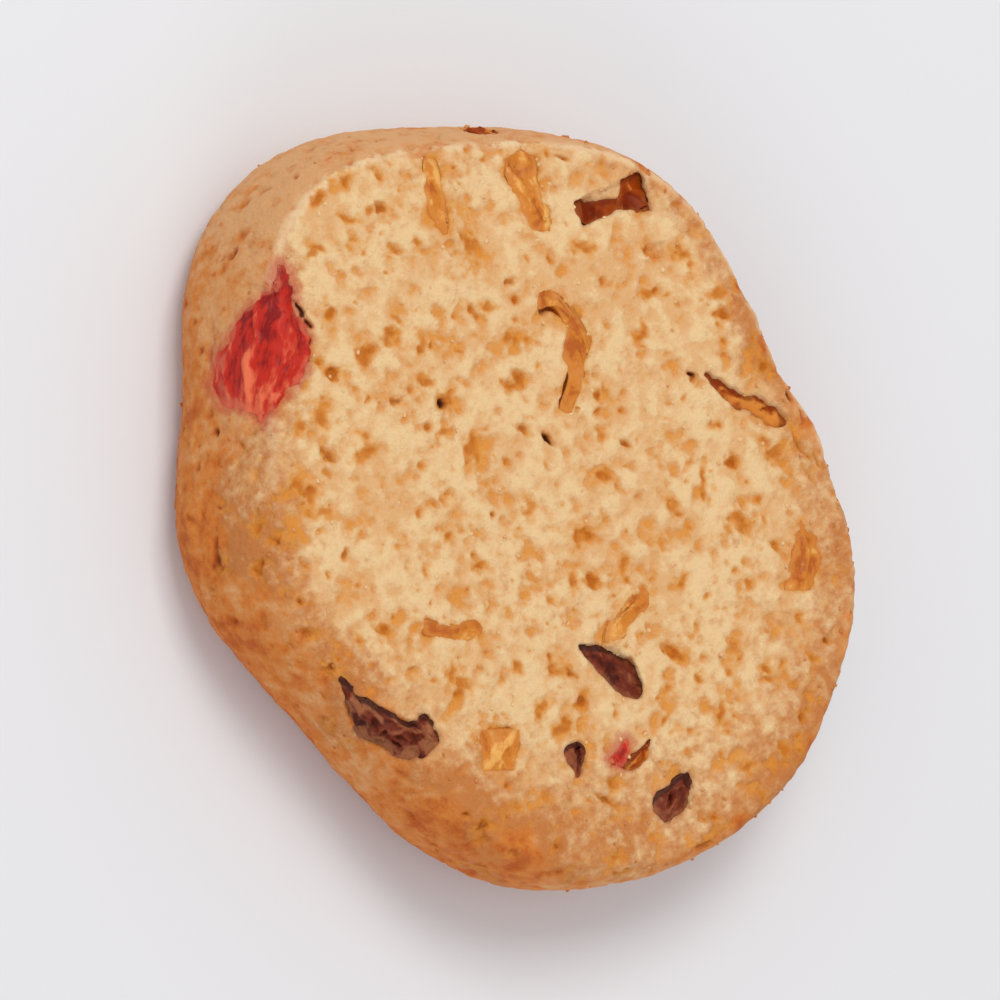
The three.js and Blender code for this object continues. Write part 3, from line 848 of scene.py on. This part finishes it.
class Skin:
    """The dough's skin while it's being shaped: heights to add, and what its material needs."""

    def __init__(self, mesh):
        self.mesh = mesh
        self.points = read(mesh)
        self.normals = normals_of(mesh)
        count = len(self.points)
        self.height = np.zeros(count)
        self.notes = {name: np.zeros(count) for name in ("pore", "painted_hollow_shade", "cherry_stain", "raisin_stain")}
        self.fruit = np.full(count, FAR_OUTSIDE)  # how far inside the nearest fruit's outline
        self.ragged = 0.6 * wobble(self.points, 0.7, SEED) + 0.35 * wobble(self.points, 0.3, SEED + 5)
        self.finder = KDTree(count)
        for index, place in enumerate(self.points):
            self.finder.insert(place, index)
        self.finder.balance()
        self.measure()

    def measure(self):
        """Where each point lies: on the face, wall or base, and how far in from the face's rim."""
        across, along = self.points[:, 0], self.points[:, 1]
        self.turn = np.degrees(np.arctan2(along, across))
        upper = self.points[:, 2] > HALF_WAY
        edge = np.interp(self.turn, np.arange(-179, 181, 2), self.face_rim(), period=360)
        self.inset = edge - np.hypot(across, along)
        self.face = upper & (self.inset > 0)
        self.base = ~upper & (self.normals[:, 2] < -0.7)
        self.wall = ~self.face & ~self.base
        turns = sorted(BROWNING_AND_PAINTED_SHADE)
        columns = np.array([BROWNING_AND_PAINTED_SHADE[turn] for turn in turns]).T
        self.start, self.width, self.tan, self.brown = [
            np.interp(self.turn, turns, column, period=360) for column in columns]

    def face_rim(self):
        """The cut face's outer edge: its radius in each of 180 directions."""
        flat = (self.normals[:, 2] > 0.85) & (self.points[:, 2] > FACE_LOWEST)
        turn = np.degrees(np.arctan2(self.points[flat, 1], self.points[flat, 0]))
        radius = np.hypot(self.points[flat, 0], self.points[flat, 1])
        bins = ((turn + 180) // 2).astype(int) % 180
        rim = np.array([radius[bins == n].max() for n in range(180)])
        return np.convolve(np.concatenate([rim[-3:], rim, rim[:3]]), np.ones(7) / 7, "valid")

    def around(self, place, reach):
        return np.array([index for _, index, _ in self.finder.find_range(place, reach)], int)

    def raise_note(self, name, near, values):
        self.notes[name][near] = np.maximum(self.notes[name][near], values)

    def dent(self, place, out, length, width, turn, depth, tint, painted_hollow_shade=0.0):
        """A ragged hollow, long by wide, turned from the photograph's right."""
        near = self.around(place, length * 0.9 + 0.3)
        out = Vector(out).normalized()
        along = CAMERA_RIGHT * math.cos(turn) + CAMERA_UP * math.sin(turn)
        along = (along - out * along.dot(out)).normalized()
        across = out.cross(along)
        offset = self.points[near] - np.array(place) + self.ragged[near] * PORE_RAG * width
        away = np.hypot(offset @ np.array(along) * 2 / length, offset @ np.array(across) * 2 / width)
        rim = np.exp(-(((away - 1.25) / 0.25) ** 2)) * 0.04 * min(1, width)
        self.height[near] += rim - smooth(away, 1.15, 0.1) * depth
        self.raise_note("pore", near, smooth(away, 1.6, 0.0) * tint)
        # painted shade darkening the middle of the hollow
        self.raise_note("painted_hollow_shade", near, smooth(away, 1.1, 0.3) * painted_hollow_shade)

    def bed(self, fruit):
        """Sinks the dough under a piece of fruit, and stains it round about."""
        near = self.around(fruit.middle, fruit.reach)
        points = self.points[near]
        inside = fruit.inside(points)
        depth = BED_DEPTH + fruit.sunk
        lip = 0.03 * np.exp(-(((inside + 0.4) / 0.3) ** 2))
        self.height[near] += lip - depth * smooth(inside, -0.04, 0.3)
        self.fruit[near] = np.maximum(self.fruit[near], inside)
        if fruit.kind == "cherry":
            self.raise_note("cherry_stain", near, smooth(inside, -1.3, 0.1))
        if fruit.kind in ("raisin", "sultana"):
            self.raise_note("raisin_stain", near, smooth(inside, -0.5, 0.15))
        if fruit.kind == "peel":
            self.raise_note("pore", near, 0.5 * smooth(inside, -0.8, 0.1))

    def scatter(self, choice, count, spacing, draw):
        """Random places on the chosen part of the skin, no closer than the spacing."""
        places = np.zeros((0, 3))
        for index in draw.permutation(np.flatnonzero(choice)):
            place = self.points[index]
            if len(places) and ((places - place) ** 2).sum(axis=1).min() < spacing**2:
                continue
            places = np.vstack([places, place])
            yield index
            if len(places) == count:
                return

    def pores(self, choice, count, spacing, lengths, depth, tint, draw):
        """Random pores, with lengths between the two given and depths as a share of their width."""
        for index in self.scatter(choice & (self.fruit < -0.8), count, spacing, draw):
            length = draw.uniform(*lengths) * draw.uniform(0.8, 1.2)
            width = length * draw.uniform(0.45, 0.9)
            hollow = depth * width * draw.uniform(0.6, 1.2)
            self.dent(self.points[index], self.normals[index], length, width,
                      draw.uniform(0, math.pi), hollow, tint * draw.uniform(0.6, 1.15))

    def lumps(self):
        """Slow swells of the whole skin, and the crumb's own roughness: pale grains, golden hollows."""
        coarse, middle, small = [
            noise(self.points, size, SEED + seed) for size, seed in ((1.5, 3), (0.75, 4), (0.42, 6))]
        rough = 0.45 * coarse + 0.45 * middle + 0.35 * small
        grains = 0.11 * rough - 0.14 * smooth(rough, -0.25, -0.9)
        self.height += (1 - 0.4 * self.crust) * swell(self.points) + (1 - 0.45 * self.crust) * grains
        self.notes["rough"] = rough * (1 - 0.3 * self.crust)

    def cracks(self):
        """Short fine cracks in the baked skin of the walls."""
        run = self.points * (1, 1, 0.4) + self.ragged * 0.3
        near_zero = np.abs(noise(run, 3.6, SEED + 40))
        where = smooth(noise(self.points, 4.5, SEED + 41), 0.0, 0.6) * self.wall
        crack = smooth(near_zero, 0.07, 0.0) * where
        self.height -= 0.12 * crack
        self.raise_note("pore", slice(None), 0.4 * crack)

    def brown_it(self):
        """Works out where the crust is and how brown it is."""
        upper = self.points[:, 2] > HALF_WAY
        wander = 0.6 * noise(self.points, 3.0, SEED + 21) + 0.3 * noise(self.points, 1.2, SEED + 22)
        wander *= np.clip(self.width, 0.5, 2)
        crust = smooth(self.inset + wander, self.start + self.width / 2, self.start - self.width / 2)
        self.crust = np.where(upper, crust, 1.0)
        # towards the lower left and the bottom this brown is partly painted shade
        toast = self.brown + 0.12 * noise(self.points, 9, SEED + 20)
        near_rim = smooth(self.inset / self.tan, 1, 0)
        # painted highlight along the face's rim, strongest on the sides that face the light
        rim = np.exp(-(((self.inset + 0.05) / 0.26) ** 2)) * upper
        self.notes["painted_rim_highlight"] = rim * np.interp(self.turn, (-60, -20, 110, 140), (0.0, 0.55, 0.75, 0.2))
        self.notes["crust"] = self.crust
        inner = smooth(self.inset, -1, 6)
        toast = np.where(self.face, toast * (0.1 + 0.9 * near_rim), toast)
        toast = np.where(self.base, toast * (1 - inner) + BASE_TOAST * inner, toast)
        self.notes["toast"] = toast + FOOT_TOAST * smooth(self.points[:, 2], FOOT_TOAST_HEIGHT, 0)

    def shaped(self):
        """The finished skin as a mesh within its budget of triangles."""
        height = np.where(self.base, np.minimum(self.height, 0), self.height)
        points = self.points + self.normals * height[:, None]
        points[:, 2] = np.maximum(points[:, 2], 0)
        move(self.mesh, points)
        for name, values in self.notes.items():
            note(self.mesh, name, values)
        mesh = self.mesh
        for _ in range(THINNINGS):
            triangles = len(mesh.loops) - 2 * len(mesh.polygons)
            mesh = modified(mesh, "DECIMATE", ratio=min(1, DOUGH_TRIANGLES / triangles))
        return mesh


def dough_mesh(fruits):
    """Face with its pores, walls, base, and a bed for each piece of fruit."""
    skin = Skin(bare_cookie(DOUGH_VOXEL))
    draw = np.random.default_rng(SEED)
    for fruit in fruits:
        skin.bed(fruit)
    for kind, marks in SEEN_PORES.items():
        for x, y, length, width, turn in marks:
            place, out = seen(x, y)
            skin.dent(place, out, length, width, math.radians(turn), *PORE_KINDS[kind])
    skin.brown_it()
    cut = skin.crust < 0.5
    pale = noise(skin.points, 8, SEED + 30) > 0.45
    skin.pores(cut & ~pale, 80, 2.4, (0.9, 1.7), 0.3, 0.9, draw)
    skin.pores(cut, 340, 1.1, (0.35, 0.95), 0.35, 0.8, draw)
    skin.pores(skin.wall & ~cut, 200, 1.4, (0.35, 1.1), 0.3, 0.6, draw)
    skin.pores(skin.base, 180, 1.6, (0.5, 1.3), 0.4, 0.7, draw)
    skin.lumps()
    skin.cracks()
    return skin.shaped(), crumbs_on(skin, draw)


CRUMBS_LOWEST = 0.8  # no crumb lies lower on the wall, mm
CRUMBS_APART = 1.1  # mm
CRUMB_SIZES = (0.14, 0.4)  # mm


def round_grain():
    """A crumb of a few dozen faces, 1 across."""
    shape = bmesh.new()
    bmesh.ops.create_cube(shape, size=1)
    bmesh.ops.subdivide_edges(shape, edges=shape.edges[:], cuts=1, use_grid_fill=True)
    for corner in shape.verts:
        corner.co = corner.co.normalized() / 2
    return as_mesh(shape)


def crumbs_on(skin, draw):
    """Loose crumbs from cutting the roll: beside the fruit, along the rim, on the walls and on the face."""
    shape = bmesh.new()
    model = round_grain()
    toast = []
    high = skin.points[:, 2] > CRUMBS_LOWEST
    beside_fruit = (skin.fruit > -0.9) & (skin.fruit < -0.15) & high
    along_rim = (np.abs(skin.inset) < 1.2) & (skin.points[:, 2] > HALF_WAY)
    wall = skin.wall & high
    for choice, count in ((beside_fruit, 60), (along_rim, 70), (wall, 50), (skin.face, 110)):
        for index in skin.scatter(choice, count, CRUMBS_APART, draw):
            toast += [skin.notes["toast"][index] + 0.2 * skin.crust[index]] * len(model.vertices)
            first = len(shape.verts)
            shape.from_mesh(model)
            shape.verts.ensure_lookup_table()
            grain = shape.verts[first:]
            for corner in grain:
                corner.co *= draw.uniform(0.8, 1.2)
            place = Vector(skin.points[index] + skin.normals[index] * skin.height[index])
            turn = Matrix.Rotation(draw.uniform(0, 6), 4, Vector(draw.normal(size=3)))
            size = Matrix.Diagonal((*draw.uniform(*CRUMB_SIZES, 3), 1))
            bmesh.ops.transform(shape, matrix=Matrix.Translation(place) @ turn @ size, verts=grain)
    mesh = as_mesh(shape)
    note(mesh, "toast", np.array(toast))
    return mesh


# ---------------------------------------------------------------- scene

WARM = (1, 0.985, 0.96)
PALE_SKY = (0.97, 0.98, 1.0, 1)
SKY_STRENGTH = 0.62
FLOOR_GREY = (0.80, 0.80, 0.82, 1)


def stand_camera():
    """A long lens at the photograph's angle, turned as its camera was."""
    data = bpy.data.cameras.new("camera")
    data.lens = LENS
    data.sensor_width = SENSOR
    data.clip_start = 0.01
    data.clip_end = 10
    camera = bpy.data.objects.new("camera", data)
    bpy.context.scene.collection.objects.link(camera)
    turn = Matrix((CAMERA_RIGHT, CAMERA_UP, TO_CAMERA)).transposed()
    camera.rotation_mode = "QUATERNION"
    camera.rotation_quaternion = turn.to_quaternion()
    distance = FRAME_SIDE * MM * LENS / SENSOR
    low, high = CAD_BOX
    camera.location = (low + high) / 2 + TO_CAMERA.normalized() * distance
    bpy.context.scene.camera = camera


def hang_light(name, side, toward, distance, power):
    """A square soft light of that side in metres, shining at the cookie from that direction."""
    data = bpy.data.lights.new(name, "AREA")
    data.shape = "SQUARE"
    data.size = side
    data.energy = power
    data.color = WARM
    light = bpy.data.objects.new(name, data)
    bpy.context.scene.collection.objects.link(light)
    direction = Vector(toward).normalized()
    light.location = direction * distance
    light.rotation_mode = "QUATERNION"
    light.rotation_quaternion = direction.to_track_quat("Z", "Y")


def lay_floor():
    """A plain pale floor under the cookie."""
    shape = bmesh.new()
    bmesh.ops.create_grid(shape, x_segments=1, y_segments=1, size=3)
    mesh = as_mesh(shape, "floor")
    finish = Finish("pale_floor", Roughness=0.6, Specular_IOR_Level=0.3)
    mesh.materials.append(finish.ends(Base_Color=FLOOR_GREY))
    floor = bpy.data.objects.new("floor", mesh)
    bpy.context.scene.collection.objects.link(floor)


def light_studio():
    scene = bpy.context.scene
    scene.view_settings.view_transform = "Standard"
    world = bpy.data.worlds.new("studio")
    world.use_nodes = True
    sky = world.node_tree.nodes["Background"]
    sky.inputs["Color"].default_value = PALE_SKY
    sky.inputs["Strength"].default_value = SKY_STRENGTH
    scene.world = world
    hang_light("key", 0.25, (0.2, 0.42, 0.9), 0.6, 1.45)
    hang_light("fill", 0.40, (-0.68, -0.6, 0.5), 0.7, 0.75)


# ---------------------------------------------------------------- the cookie

stand_camera()
light_studio()
lay_floor()

nodes = [node for node in sorted(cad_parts) if node != "dough"]
fruits = [Fruit(node, number) for number, node in enumerate(nodes)]
finishes = fruit_finishes()
dough, crumbs = dough_mesh(fruits)
finished(dough, "dough_crumb_and_crust", dough_finish(), ["dough"])
finished(crumbs, "loose_crumbs", crumb_finish())
for fruit in fruits:
    finished(fruit.mesh(), fruit.node + "_flesh", finishes[fruit.kind], [fruit.node])
